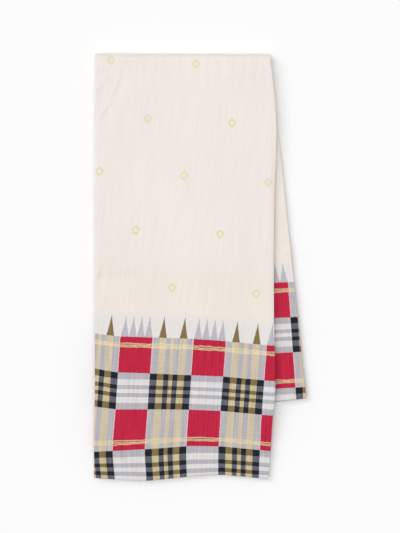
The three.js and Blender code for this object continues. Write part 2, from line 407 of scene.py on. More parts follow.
# %% Columns of a layer with a loop at each side
LAYER_PITCH = 0.46
OUTER_DEPTH = LAYER_PITCH / 2
LIP = 24.0
ON_LIP = [24.0, 17.0, 11.0, 7.0, 3.5]
NEAR_EDGE = [1.2, 2.4, 4.0, 6.0, 8.5, 11.5]
COLUMN_STEP = 2.2
LOOP_PLACES = 7


def looped_columns(depth, pitch):
    """Shares across the strip, and depths, for a layer that turns under at both sides."""
    turn = np.radians(np.linspace(-90, 90, LOOP_PLACES))
    reach = abs(pitch) / 2
    loop = [(reach * (1 - np.cos(a)), depth + pitch / 2 * (1 + np.sin(a))) for a in turn]
    edge = [(d, depth + pitch) for d in ON_LIP] + loop[::-1]
    edge += [(d, depth) for d in NEAR_EDGE]
    inner = np.arange(NEAR_EDGE[-1] + COLUMN_STEP, FOLD_WIDTH - NEAR_EDGE[-1], COLUMN_STEP)
    left = [(d / FOLD_WIDTH, z) for d, z in edge]
    right = [(1 - d / FOLD_WIDTH, z) for d, z in edge[::-1]]
    columns = left + [(d / FOLD_WIDTH, depth) for d in inner] + right
    return np.array(columns).T


outer_across, outer_depth = looped_columns(OUTER_DEPTH, LAYER_PITCH)
print("columns in the outer cloth:", len(outer_across))

# %% [markdown]
# Rows are closest together on the front flap, which is seen best. Each kind of row has its own
# function, so one list of rows makes the whole path from the front hem to the back hem. Three
# sheets joined at the fold would need matching edges; one path has none to match.

# %% Rows from hem to hem
FRONT_ROWS = 250
FOLD_ROWS = 12
BACK_ROWS = 46


def path_rows(front, fold, back):
    """(kind, place) of each row: down in mm on the front, angle on the fold, share on the back."""
    downs = np.linspace(FRONT_LENGTH, FOLD_RADIUS, front + 1)
    angles = np.radians(np.linspace(90, -90, fold + 1))[1:]
    shares = np.linspace(0, 1, back + 1)[1:]
    return (
        [("front", down) for down in downs]
        + [("fold", angle) for angle in angles]
        + [("back", share) for share in shares]
    )


def row_points(kind, place, across, depth):
    maker = {"front": on_front, "fold": on_fold, "back": on_back}[kind]
    if kind != "fold":
        place = place + 0 * across
    return maker(place, across, rounded(across, depth))


outer_rows = path_rows(FRONT_ROWS, FOLD_ROWS, BACK_ROWS)
outer_points = np.array([row_points(*row, outer_across, outer_depth) for row in outer_rows])
print("outer cloth grid:", outer_points.shape[:2])

# %% [markdown]
# ## The pattern goes round the fold with the cloth
# On the front flap a point takes the measured coordinates of its place, seen from above. From
# there v grows with the way round the fold, and then evenly down to the back hem. Along a row, u is
# the cloth's own length, so the pattern also goes on into the loops and lips without a stretch.

# %% Lay the pattern on the outer cloth
def seen_from_above(points):
    """x and y of points in the shared frame, in mm."""
    return points[..., 0] + drawing_origin[0], points[..., 1] + drawing_origin[1]


def path_coords(rows, points, middle):
    """Cloth coordinates for layers that follow the front flap's pattern."""
    x, y = seen_from_above(points)
    u = along(points) - along(points)[:, middle : middle + 1]
    v = np.zeros_like(u)
    for i, (kind, place) in enumerate(rows):
        if kind == "front":
            v[i] = v_on_front(x[i], y[i])
            at_middle = u_on_front(x[i, middle], y[i, middle])
            u[i] += at_middle
            crest = i
        elif kind == "fold":
            v[i] = v[crest] + FOLD_RADIUS * (np.pi / 2 - place)
            u[i] += at_middle
            turned = i
        else:
            v[i] = v[turned] + (CLOTH_WIDTH - v[turned]) * place
            u[i] += at_middle
    return np.stack([u, v], axis=-1)


outer_middle = len(outer_across) // 2
outer_coords = path_coords(outer_rows, outer_points, outer_middle)
front_part = [i for i, row in enumerate(outer_rows) if row[0] == "front"]
plain = (outer_depth == OUTER_DEPTH).nonzero()[0]
for i in front_part:
    x, y = seen_from_above(outer_points[i, plain])
    outer_coords[i, plain, 0] = u_on_front(x, y)
front_cloth = cloth_object("front_cloth", outer_points, outer_coords)

# %% [markdown]
# ## The cloth on the back flap
# The innermost layer faces up on the back flap, and shows beside the front one. It is the same
# kind of grid, turned over: its loops and lips go down instead of up. Only its right side shows,
# so its u is measured along each row from a column near that side, and most of its rows lie on
# the back flap. Its v changes evenly round the fold, out of sight.

# %% The inner cloth
INNER_DEPTH = FLAP - LAYER_PITCH / 2
INNER_FRONT_ROWS = 70
INNER_BACK_ROWS = 170
SHOWN_COLUMN = -8
inner_across, inner_depth = looped_columns(INNER_DEPTH, -LAYER_PITCH)
inner_rows = path_rows(INNER_FRONT_ROWS, FOLD_ROWS, INNER_BACK_ROWS)
inner_points = np.array([row_points(*row, inner_across, inner_depth) for row in inner_rows])

inner_x, inner_y = seen_from_above(inner_points)
on_back_flap = np.array([row[0] == "back" for row in inner_rows])
on_front_flap = np.array([row[0] == "front" for row in inner_rows])
first_back = int(on_back_flap.argmax())
inner_edge = int((inner_depth == INNER_DEPTH).nonzero()[0][SHOWN_COLUMN])
inner_u = along(inner_points) - along(inner_points)[:, inner_edge : inner_edge + 1]
edge_rows = np.maximum(np.arange(len(inner_rows)), first_back)
inner_u += u_on_back(inner_x[edge_rows, inner_edge], inner_y[edge_rows, inner_edge])[:, None]
inner_v = v_on_back(inner_x, inner_y)
fold_share = np.clip((np.arange(len(inner_rows)) - INNER_FRONT_ROWS) / FOLD_ROWS, 0, 1)[:, None]
front_v = v_on_front(inner_x, inner_y)
inner_v = np.where(on_front_flap[:, None], front_v, inner_v)
fold_v = front_v[INNER_FRONT_ROWS] * (1 - fold_share) + inner_v[first_back] * fold_share
in_fold = ~(on_front_flap | on_back_flap)[:, None]
inner_v = np.where(in_fold, fold_v, inner_v)
back_cloth = cloth_object("back_cloth", inner_points, np.stack([inner_u, inner_v], axis=-1))

# %% [markdown]
# ## The layers between
# Seventeen more layers lie between those two, and their folded edges show from the side. They are
# one cloth that zigzags, so they are made as one: each loop is shared by two layers. Seventeen flat
# sheets would be simpler, but their open sides would show where the real cloth is folded.

# %% Columns of the zigzag
LAYERS = 17
FIRST_DEPTH = 1.16
LAST_DEPTH = 8.44
ZIGZAG_PITCH = (LAST_DEPTH - FIRST_DEPTH) / (LAYERS - 1)
FROM_EDGE = [1.5, 4.0, 8.0, 14.0, 24.0, 42.0]
MIDDLE_SHARES = [0.25, 0.4, 0.6, 0.75]
LOOP_ANGLES = np.radians([-90, -45, 0, 45, 90])


def zigzag_columns():
    """(side, distance from that side, depth, loop, layer) of each column, along the cloth."""
    columns = []
    for layer in range(LAYERS):
        depth = FIRST_DEPTH + layer * ZIGZAG_PITCH
        here, there = (-1, 1) if layer % 2 == 0 else (1, -1)
        if layer == 0:
            columns.append((here, 0.0, depth, 0, 0.0))
        columns += [(here, d, depth, layer, layer) for d in FROM_EDGE]
        shares = MIDDLE_SHARES if here < 0 else MIDDLE_SHARES[::-1]
        columns += [(0, share, depth, layer, layer) for share in shares]
        columns += [(there, d, depth, layer + 1, layer) for d in FROM_EDGE[::-1]]
        if layer < LAYERS - 1:
            for i, angle in enumerate(LOOP_ANGLES):
                inwards = ZIGZAG_PITCH / 2 * (1 - np.cos(angle))
                down = depth + ZIGZAG_PITCH / 2 * (1 + np.sin(angle))
                along_loop = i / (len(LOOP_ANGLES) - 1)
                columns.append((there, inwards, down, layer + 1, layer + along_loop))
        else:
            columns.append((there, 0.0, depth, layer + 1, layer))
    return np.array(columns).T


side, distance, layer_depth, loop, layer = zigzag_columns()
loop = loop.astype(int)
print("columns in the zigzag:", len(side))

# %% [markdown]
# No folding by hand is exact. Each loop stops a little short of the strip's side, and sways as it
# runs along it. Each layer stops a little short of the hem too. Seeded chance sets how much, so the
# cloth comes out the same every time.

# %% How far each loop and hem falls short
chance = np.random.default_rng(7)


def uneven(count, least, more, power=1.0):
    """One value for each loop or layer, from least to least + more."""
    return least + more * chance.random(count) ** power


loop_inset = uneven(LAYERS + 1, least=0.4, more=1.5, power=1.5)
loop_sway = uneven(LAYERS + 1, least=0.2, more=0.5)
loop_pace = uneven(LAYERS + 1, least=0.03, more=0.09)
loop_start = uneven(LAYERS + 1, least=0.0, more=6.3)
front_short = uneven(LAYERS, least=0.6, more=3.6)
back_short = uneven(LAYERS, least=0.6, more=3.0)
print("loops stop short by up to, mm:", (loop_inset + loop_sway).max().round(2))

# %% [markdown]
# Now the rows, again from hem to hem. One row crosses all seventeen layers. Where the layers stop
# short, the row draws back only near the hem, so that the pattern keeps its place further in.

# %% Rows of the zigzag
ZIGZAG_FRONT_ROWS = 80
ZIGZAG_FOLD_ROWS = 8
ZIGZAG_BACK_ROWS = 38
HEM_EASE = 60.0
layer_low = np.floor(layer).astype(int)
layer_high = np.minimum(layer_low + 1, LAYERS - 1)


def between_layers(values):
    return values[layer_low] + (values[layer_high] - values[layer_low]) * (layer - layer_low)


def zigzag_row(kind, place, row):
    inset = loop_inset[loop] + loop_sway[loop] * np.sin(loop_pace[loop] * row + loop_start[loop])
    from_side = (distance + inset) / FOLD_WIDTH
    across = np.where(side < 0, from_side, np.where(side > 0, 1 - from_side, distance))
    if kind == "front":
        near_hem = ease((place - FRONT_LENGTH + HEM_EASE) / HEM_EASE)
        place = place - near_hem * between_layers(front_short)
    if kind == "back":
        near_hem = ease((place - 1) * BACK_LENGTH / HEM_EASE + 1)
        place = place - near_hem * between_layers(back_short) / BACK_LENGTH
    return row_points(kind, place, across, layer_depth)


zigzag_rows = path_rows(ZIGZAG_FRONT_ROWS, ZIGZAG_FOLD_ROWS, ZIGZAG_BACK_ROWS)
zigzag_points = np.array([zigzag_row(*row, i) for i, row in enumerate(zigzag_rows)])
zigzag_coords = path_coords(zigzag_rows, zigzag_points, 0)
folded_cloth = cloth_object("folded_cloth", zigzag_points, zigzag_coords)
print("length of the zigzag, m:", round(float(along(zigzag_points)[0, -1]) * MM, 3))

# %% [markdown]
# ## The finish: one material for the whole cloth
# A saree's border is woven, not printed: every colour comes from the yarns that cross there. So
# the material asks where a place lies in the repeat, in cloth coordinates, and picks the colour
# that the two yarns make. Math nodes do the asking. A few short helpers keep that readable.

# %% Helpers for node sums
def to_linear(red, green, blue):
    """A colour as seen on a screen, 0 to 255, turned into the light that it stands for."""
    seen = np.array([red, green, blue]) / 255
    light = np.where(seen <= 0.04045, seen / 12.92, ((seen + 0.055) / 1.055) ** 2.4)
    return (*light.tolist(), 1.0)


class Sums:
    """Writes a material's sums as nodes, one node for each call."""

    def __init__(self, tree):
        self.tree = tree

    def node(self, kind, **settings):
        made = self.tree.nodes.new(kind)
        for name, value in settings.items():
            setattr(made, name, value)
        return made

    def put(self, socket, value):
        if isinstance(value, bpy.types.NodeSocket):
            self.tree.links.new(value, socket)
        else:
            socket.default_value = value

    def math(self, operation, *values):
        made = self.node("ShaderNodeMath", operation=operation)
        for socket, value in zip(made.inputs, values):
            self.put(socket, value)
        return made.outputs[0]

    def pick(self, share, first, second, blend="MIX"):
        """The first colour where share is 0, and the second where it is 1."""
        made = self.node("ShaderNodeMix", data_type="RGBA", blend_type=blend)
        # the node's two colours go in at 6 and 7, and the mixed one comes out at 2
        self.put(made.inputs["Factor"], share)
        self.put(made.inputs[6], first)
        self.put(made.inputs[7], second)
        return made.outputs[2]

    def between(self, value, low, high):
        above = self.math("GREATER_THAN", value, low)
        return self.math("MULTIPLY", above, self.math("LESS_THAN", value, high))

    def below(self, value, top, fade):
        """0 above the top, rising to 1 over the fade below it."""
        share = self.math("DIVIDE", self.math("SUBTRACT", top, value), fade)
        return self.math("MINIMUM", self.math("MAXIMUM", share, 0.0), 1.0)

    def noise(self, place, scale, detail=2.0, roughness=0.5):
        """Noise from 0 to 1, stretched by a different scale each way."""
        stretch = self.node("ShaderNodeMapping")
        self.put(stretch.inputs["Vector"], place)
        stretch.inputs["Scale"].default_value = scale
        made = self.node("ShaderNodeTexNoise", noise_dimensions="2D")
        self.put(made.inputs["Vector"], stretch.outputs[0])
        made.inputs["Scale"].default_value = 1.0
        made.inputs["Detail"].default_value = detail
        made.inputs["Roughness"].default_value = roughness
        return made.outputs[0]


print("pure white in light:", to_linear(255, 255, 255))

# %% [markdown]
# ### The check in the border
# An image of the check would blur close up. Sums stay sharp, and the yarn's own wobble can bend
# them. The border is a chessboard of four kinds of block. Between the red columns, uneven stripes of
# dark and tan yarn cross uneven stripes of the weft, as in many handloom checks. It is a plain
# check of this lesson's own: four dark lines each way, with a narrow tan one in the middle. Where
# a red column meets the grey, a few yarns of both mix to a thin pink edge.

# %% Which yarns cross at a place
CHECK_PERIOD = 110.0
BORDER_TOP = 212.0
BAND_TOP = 157.0
BAND_PERIOD = 116.0
BAND_HEIGHT = 55.0
STRIPES_MIDDLE = 31.0
NARROW_TAN_HALF = 3.0
TAN_FROM, TAN_TO = 10.5, 20.5
INNER_LINE_FROM, INNER_LINE_TO = 3.0, 9.0
OUTER_LINE_FROM = 17.8
PINK_EDGE = 1.4
RED = to_linear(193, 26, 62)
WHITE = to_linear(224, 221, 221)
LAVENDER = to_linear(183, 181, 186)
TAN = to_linear(204, 190, 154)
STRAW = to_linear(209, 194, 167)
OLIVE = to_linear(130, 110, 71)
NAVY = to_linear(20, 21, 33)
SLATE = to_linear(95, 97, 107)
PINK = to_linear(226, 190, 196)


def check_colour(sums, u, from_hem):
    """The colour that the warp and the weft make together."""
    column = sums.math("FLOORED_MODULO", u, CHECK_PERIOD)
    in_red = sums.math("LESS_THAN", column, RED_RIGHT_EDGE)
    across = sums.math("SUBTRACT", column, RED_RIGHT_EDGE + STRIPES_MIDDLE)
    off_middle = sums.math("ABSOLUTE", across)
    wide_tan = sums.between(off_middle, TAN_FROM, TAN_TO)
    narrow_tan = sums.math("LESS_THAN", off_middle, NARROW_TAN_HALF)
    tan_warp = sums.math("ADD", wide_tan, narrow_tan)

    down = sums.math("SUBTRACT", BAND_TOP, from_hem)
    down = sums.math("FLOORED_MODULO", down, BAND_PERIOD)
    in_band = sums.math("LESS_THAN", down, BAND_HEIGHT)
    off_line = sums.math("SUBTRACT", down, BAND_HEIGHT / 2)
    off_line = sums.math("ABSOLUTE", off_line)
    outer_line = sums.math("GREATER_THAN", off_line, OUTER_LINE_FROM)
    inner_line = sums.between(off_line, INNER_LINE_FROM, INNER_LINE_TO)
    dark_weft = sums.math("ADD", outer_line, inner_line)

    light_row = sums.pick(tan_warp, SLATE, TAN)
    dark_row = sums.pick(tan_warp, NAVY, OLIVE)
    striped = sums.pick(dark_weft, light_row, dark_row)
    quiet = sums.pick(tan_warp, LAVENDER, STRAW)
    beside_red = sums.math("GREATER_THAN", off_middle, STRIPES_MIDDLE - PINK_EDGE)
    quiet = sums.pick(beside_red, quiet, PINK)
    between_reds = sums.pick(in_band, quiet, striped)
    over_red = sums.pick(in_band, RED, sums.pick(dark_weft, WHITE, LAVENDER))
    return sums.pick(in_red, between_reds, over_red)


print("check repeat, mm:", CHECK_PERIOD, "x", BAND_PERIOD)

# %% [markdown]
# ### Gold lines
# Two lines of gold yarn run along the border. Each is a thick weft of a few strands that wander
# and cross, so noise moves every strand aside on its own. The yarn lies open: between its strands
# the ground shows through, and it looks darker there where the ground is red.

# %% Gold lines
GOLD_LINES = [199.2, 52.6]
GOLD_HALF_HEIGHT = 3.6
STRANDS = (1, 0.1, -1)
STRAND_APART = 2.5
STRAND_HALF = 1.0
STRAND_SOFT = 0.45
STRAND_STRAY = 1.5
WANDER = 0.4
WANDER_PACE = 0.105
FRAY_PACE = 0.06
FRAY_PACE_MORE = 0.05


def gold_threads(sums, u, from_hem, place):
    """(share covered by gold thread, share covered by the dimmer ground between)"""
    thread, ground = 0.0, 0.0
    for height in GOLD_LINES:
        off = sums.math("SUBTRACT", from_hem, height)
        wander = sums.math("SINE", sums.math("MULTIPLY", u, WANDER_PACE))
        wander = sums.math("MULTIPLY_ADD", wander, WANDER, STRAND_APART)
        for sign in STRANDS:
            pace = (FRAY_PACE + FRAY_PACE_MORE * abs(sign), FRAY_PACE_MORE * sign, 1.0)
            fray = sums.noise(place, pace, detail=3.0)
            stray = sums.math("MULTIPLY_ADD", fray, 2 * STRAND_STRAY, -STRAND_STRAY)
            aside = sums.math("ADD", sums.math("MULTIPLY_ADD", wander, sign, off), stray)
            near = sums.below(sums.math("ABSOLUTE", aside), STRAND_HALF, STRAND_SOFT)
            thread = sums.math("MAXIMUM", near, thread)
        inside = sums.math("LESS_THAN", sums.math("ABSOLUTE", off), GOLD_HALF_HEIGHT)
        ground = sums.math("MAXIMUM", inside, ground)
    return thread, ground


print("gold lines, mm from the hem:", GOLD_LINES)

# %% [markdown]
# ### Temple spikes
# Above the border stands a row of temple spikes, an ordinary motif of woven sarees. They are woven
# in steps, a few picks of yarn at a time. Smooth triangles would look printed, so the height is
# snapped to a step before it sets the width. Grey ones stand over each red column, and an olive
# one over each wide tan stripe.

# %% Temple spikes
SPIKE_HEIGHT = 32.5
SPIKE_STEP = 1.8
SPIKE_HALF_BASE = 5.8
SPIKE_HOLLOW = 1.25
SPIKES_OVER_RED = 4
GREY_SPIKE = to_linear(190, 187, 194)
OLIVE_SPIKE = to_linear(133, 112, 72)


def spikes(sums, u, from_hem):
    """(inside a grey spike, inside an olive one)"""
    column = sums.math("FLOORED_MODULO", u, CHECK_PERIOD)
    height = sums.math("SUBTRACT", from_hem, BORDER_TOP)
    stepped = sums.math("SNAP", height, SPIKE_STEP)
    left = sums.math("SUBTRACT", 1.0, sums.math("DIVIDE", stepped, SPIKE_HEIGHT))
    left = sums.math("POWER", sums.math("MAXIMUM", left, 0.0), SPIKE_HOLLOW)
    half = sums.math("MULTIPLY", left, SPIKE_HALF_BASE)
    over = sums.math("GREATER_THAN", height, 0.0)

    spacing = RED_RIGHT_EDGE / SPIKES_OVER_RED
    every = sums.math("FLOORED_MODULO", column, spacing)
    off = sums.math("ABSOLUTE", sums.math("SUBTRACT", every, spacing / 2))
    grey = sums.math("LESS_THAN", off, half)
    grey = sums.math("MULTIPLY", grey, sums.math("LESS_THAN", column, RED_RIGHT_EDGE))
    off_middle = sums.math("SUBTRACT", column, RED_RIGHT_EDGE + STRIPES_MIDDLE)
    off = sums.math("SUBTRACT", sums.math("ABSOLUTE", off_middle), (TAN_FROM + TAN_TO) / 2)
    olive = sums.math("LESS_THAN", sums.math("ABSOLUTE", off), half)
    return sums.math("MULTIPLY", grey, over), sums.math("MULTIPLY", olive, over)


print("spikes stand", RED_RIGHT_EDGE / SPIKES_OVER_RED, "mm apart over the red")

# %% [markdown]
# ### Small diamonds
# Over the plain field stand small diamonds, in rows that are half a step out from one another.
# They are woven in, and lie as flat as the cloth, so they are colour and not little meshes. Each
# was woven on its own, so some are fuller than others. A place inside one has a small sum of its
# distances up and aside, each raised to a power that makes the sides bulge a little. The cells are
# counted from far to the left, so that no count is below zero.

# %% Small diamonds
LATTICE_U = 127.0
LATTICE_V = 84.0
LATTICE_START_U = -39.4
LATTICE_START_V = 287.7
CELLS_TO_THE_LEFT = 100.5
DIAMOND_HALF_WIDTH = 7.3
DIAMOND_HALF_HEIGHT = 8.2
DIAMOND_ROUND = 1.35
DIAMOND_SOFT = 0.35
MIDDLE_SIZE = 0.4
MIDDLE_SOFT = 0.2
LEAST_FULL = 0.6
MORE_FULL = 0.5


def diamonds(sums, u, v):
    """(inside a diamond, inside its lighter middle)"""
    place = sums.math("SUBTRACT", v, LATTICE_START_V - LATTICE_V / 2)
    place = sums.math("DIVIDE", place, LATTICE_V)
    row = sums.math("FLOOR", place)
    up = sums.math("SUBTRACT", sums.math("SUBTRACT", place, row), 0.5)
    up = sums.math("MULTIPLY", sums.math("ABSOLUTE", up), LATTICE_V / DIAMOND_HALF_HEIGHT)
    up = sums.math("POWER", up, DIAMOND_ROUND)
    shift = sums.math("MULTIPLY", sums.math("FLOORED_MODULO", row, 2.0), 0.5)
    along_u = sums.math("DIVIDE", sums.math("SUBTRACT", u, LATTICE_START_U), LATTICE_U)
    along_u = sums.math("ADD", sums.math("ADD", along_u, shift), CELLS_TO_THE_LEFT)
    cell = sums.node("ShaderNodeCombineXYZ")
    sums.put(cell.inputs[0], sums.math("FLOOR", along_u))
    sums.put(cell.inputs[1], row)
    drawn = sums.node("ShaderNodeTexWhiteNoise", noise_dimensions="2D")
    sums.put(drawn.inputs["Vector"], cell.outputs[0])
    full = sums.math("MULTIPLY_ADD", drawn.outputs["Value"], MORE_FULL, LEAST_FULL)
    full = sums.math("MINIMUM", full, 1.0)
    along_u = sums.math("FRACT", along_u)
    aside = sums.math("ABSOLUTE", sums.math("SUBTRACT", along_u, 0.5))
    aside = sums.math("MULTIPLY", aside, LATTICE_U / DIAMOND_HALF_WIDTH)
    size = sums.math("ADD", up, sums.math("POWER", aside, DIAMOND_ROUND))
    whole = sums.math("MULTIPLY", sums.below(size, 1.0, DIAMOND_SOFT), full)
    return whole, sums.math("MULTIPLY", sums.below(size, MIDDLE_SIZE, MIDDLE_SOFT), full)


print("diamonds stand", LATTICE_U, "by", LATTICE_V, "mm apart")

# %% [markdown]
# ### Reading the cloth coordinates
# The named UV map gives a place on the cloth in metres. In millimetres, the pattern's own sizes can
# be used as they are. No woven line is dead straight, so both coordinates wobble by a fraction of a
# millimetre. The pattern needs the distance from the nearer hem, because both borders are alike.

# %% Places on the cloth, for the sums
WOBBLE = 0.8
WOBBLE_ALONG = (0.05, 0.6, 1.0)
WOBBLE_ACROSS = (0.6, 0.05, 1.0)


def places(sums):
    """(the place in mm, its two parts, and the same parts with the yarns' wobble)"""
    in_metres = sums.node("ShaderNodeUVMap", uv_map="cloth").outputs[0]
    scaled = sums.node("ShaderNodeVectorMath", operation="SCALE")
    sums.put(scaled.inputs[0], in_metres)
    scaled.inputs["Scale"].default_value = 1 / MM
    place = scaled.outputs[0]
    split = sums.node("ShaderNodeSeparateXYZ")
    sums.put(split.inputs[0], place)
    straight = split.outputs[0], split.outputs[1]
    wobbled = []
    for part, pace in zip(straight, (WOBBLE_ALONG, WOBBLE_ACROSS)):
        wobble = sums.noise(place, pace)
        wobble = sums.math("MULTIPLY_ADD", wobble, 2 * WOBBLE, -WOBBLE)
        wobbled.append(sums.math("ADD", part, wobble))
    return place, straight, wobbled


print("the pattern's lines wander by up to", WOBBLE, "mm")

# %% [markdown]
# ### The colour of the border
# The gold lies over the check. It could be a plain band of one colour, but real gold yarn takes on
# the colour behind it, so it is mixed in by a share, and by a larger one over red than over grey.

# %% Check and gold together
GOLD = to_linear(232, 214, 170)
GOLD_DIM = to_linear(212, 194, 158)
GOLD_IN_SHADE = to_linear(158, 122, 92)
RED_IS_BELOW = 0.3
GROUND_SHARE, GROUND_SHARE_ON_RED = 0.36, 0.52
THREAD_SHARE, THREAD_SHARE_ON_RED = 0.58, 0.60


def brightness_of(sums, colour):
    grey = sums.node("ShaderNodeRGBToBW")
    sums.put(grey.inputs[0], colour)
    return grey.outputs[0]


def border_colour(sums, u, from_hem, place):
    """(the border's colour, share covered by gold thread)"""
    colour = check_colour(sums, u, from_hem)
    thread, ground = gold_threads(sums, u, from_hem, place)
    on_red = sums.math("LESS_THAN", brightness_of(sums, colour), RED_IS_BELOW)
    more = sums.math("MULTIPLY_ADD", on_red, GROUND_SHARE_ON_RED - GROUND_SHARE, GROUND_SHARE)
    between_strands = sums.pick(on_red, GOLD_DIM, GOLD_IN_SHADE)
    colour = sums.pick(sums.math("MULTIPLY", ground, more), colour, between_strands)
    more = sums.math("MULTIPLY_ADD", on_red, THREAD_SHARE_ON_RED - THREAD_SHARE, THREAD_SHARE)
    return sums.pick(sums.math("MULTIPLY", thread, more), colour, GOLD), thread


print("gold covers", THREAD_SHARE, "of the grey and", THREAD_SHARE_ON_RED, "of the red")

# %% [markdown]
# ### The colour of the field
# The cream isn't one colour either. It is warmer low down and in a few wide patches, and cooler
# among the spikes, where their grey yarn runs on behind. One flat cream would look like paper. The
# spikes and the diamonds lie over it.

# %% Cream, spikes and diamonds together
CREAM = to_linear(241, 234, 227)
LOW_CREAM = to_linear(240, 232, 223)
COOL_CREAM = to_linear(231, 227, 225)
BUTI = to_linear(227, 219, 190)
BUTI_MIDDLE = to_linear(243, 237, 206)
SPIKE_GROUND_TOP = 252.0
SPIKE_GROUND_FADE = 16.0
DIAMONDS_FROM = 262.0
LOW_FIELD_TOP = 345.0
LOW_FIELD_FADE = 40.0
WARM_PATCH = (0.009, 0.007, 1.0)
WARM_BELOW, WARM_FADE, WARM_SHARE = 0.45, 0.3, 0.8


def field_colour(sums, u, v, from_hem, place):
    """(the field's colour, share covered by a diamond)"""
    low = sums.below(from_hem, LOW_FIELD_TOP, LOW_FIELD_FADE)
    warmth = sums.noise(place, WARM_PATCH, detail=1.0)
    warmth = sums.below(warmth, WARM_BELOW, WARM_FADE)
    low = sums.math("MAXIMUM", low, sums.math("MULTIPLY", warmth, WARM_SHARE))
    colour = sums.pick(low, CREAM, LOW_CREAM)
    cool = sums.below(from_hem, SPIKE_GROUND_TOP, SPIKE_GROUND_FADE)
    colour = sums.pick(cool, colour, COOL_CREAM)
    grey, olive = spikes(sums, u, from_hem)
    colour = sums.pick(grey, colour, GREY_SPIKE)
    colour = sums.pick(olive, colour, OLIVE_SPIKE)
    above_spikes = sums.math("GREATER_THAN", from_hem, DIAMONDS_FROM)
    diamond, middle = diamonds(sums, u, v)
    diamond = sums.math("MULTIPLY", diamond, above_spikes)
    middle = sums.math("MULTIPLY", middle, above_spikes)
    colour = sums.pick(diamond, colour, BUTI)
    return sums.pick(middle, colour, BUTI_MIDDLE), diamond


print("diamonds begin", DIAMONDS_FROM, "mm from the hem")

# %% [markdown]
# ### Yarn: streaks of light and dark
# Silk and cotton yarns are never quite even. Long thin streaks of light and dark run along them,
# and show most in the dark colours of the border. An image of cloth would repeat; noise that is
# stretched far along the yarn doesn't.

# %% How light each yarn is
WARP_STREAK = (0.38, 0.012, 1.0)
WEFT_STREAK = (0.014, 0.5, 1.0)
CLOUD = (0.012, 0.008, 1.0)
FIELD_STREAKS = 0.14
BORDER_STREAKS = 0.86
FEWER_WHERE_PALE = -0.78
WEFT_STREAKS, WEFT_STREAKS_IN_BORDER = 0.02, 0.20
CLOUD_DEPTH = 0.05


def yarn_light(sums, place, in_border, colour):
    """(how light the yarn is, about 1; the streaks of the warp; the streaks of the weft)"""
    streak = sums.noise(place, WARP_STREAK, detail=4.0, roughness=0.7)
    weft_streak = sums.noise(place, WEFT_STREAK, detail=3.0, roughness=0.6)
    cloud = sums.noise(place, CLOUD, detail=2.0)
    paleness = brightness_of(sums, colour)
    strength = sums.math("MULTIPLY_ADD", paleness, FEWER_WHERE_PALE, BORDER_STREAKS)
    strength = sums.math("MULTIPLY_ADD", in_border, strength, FIELD_STREAKS)
    light = sums.math("MULTIPLY", sums.math("SUBTRACT", streak, 0.5), strength)
    more = WEFT_STREAKS_IN_BORDER - WEFT_STREAKS
    strength = sums.math("MULTIPLY_ADD", in_border, more, WEFT_STREAKS)
    light = sums.math("MULTIPLY_ADD", sums.math("SUBTRACT", weft_streak, 0.5), strength, light)
    cloud = sums.math("MULTIPLY_ADD", cloud, CLOUD_DEPTH, 1 - CLOUD_DEPTH / 2)
    return sums.math("ADD", light, cloud), streak, weft_streak


print("streaks in the field and the border:", FIELD_STREAKS, FIELD_STREAKS + BORDER_STREAKS)

# %% [markdown]
# ### Weave and slubs
# Close up, the cloth is a plain weave, and thicker stretches of yarn, called slubs, stand a little
# proud. Threads this fine would take millions of faces, so they are bump: two crossed waves for
# the weave, with two threads to a repeat, and the streaks again for the slubs.

# %% Relief of the yarns
WEAVE_REPEAT = 0.42
WEAVE_DEPTH = 0.05
SLUB_DEPTH = 0.14
RELIEF_STRENGTH = 0.7


def yarn_relief(sums, straight, streak, weft_streak):
    """The surface's direction, tilted by the weave and the slubs."""
    turn = 2 * np.pi / WEAVE_REPEAT
    warp = sums.math("SINE", sums.math("MULTIPLY", straight[0], turn))
    weft = sums.math("SINE", sums.math("MULTIPLY", straight[1], turn))
    weave = sums.math("MULTIPLY", sums.math("MULTIPLY", warp, weft), WEAVE_DEPTH)
    height = sums.math("MULTIPLY_ADD", streak, SLUB_DEPTH, weave)
    height = sums.math("MULTIPLY_ADD", weft_streak, SLUB_DEPTH / 2, height)
    bump = sums.node("ShaderNodeBump")
    bump.inputs["Strength"].default_value = RELIEF_STRENGTH
    bump.inputs["Distance"].default_value = MM
    sums.put(bump.inputs["Height"], height)
    return bump.outputs[0]


print("threads to the centimetre:", round(2 * 10 / WEAVE_REPEAT))

# %% [markdown]
# ### The whole material
# Now the parts come together. Cotton silk is matt with a faint sheen, and only the gold and the
# diamonds shine a little like metal. The hidden layers wear the same cloth with painted shade: every
# colour is darkened a little, for the shade that falls between layers that lie close together.

# %% The whole material
ROUGH = 0.78
ROUGH_STREAKS = -0.12
ROUGH_WHERE_GOLD = -0.3
DIAMOND_SHINE = 0.4
METAL_SHARE = 0.35
SHEEN = 0.08
SHEEN_ROUGHNESS = 0.4
GLOSS = 0.25
# painted shade: the hidden layers' colours are darkened to this share, for the shade between close
# layers
LAYERS_PAINTED_SHADE = 0.96


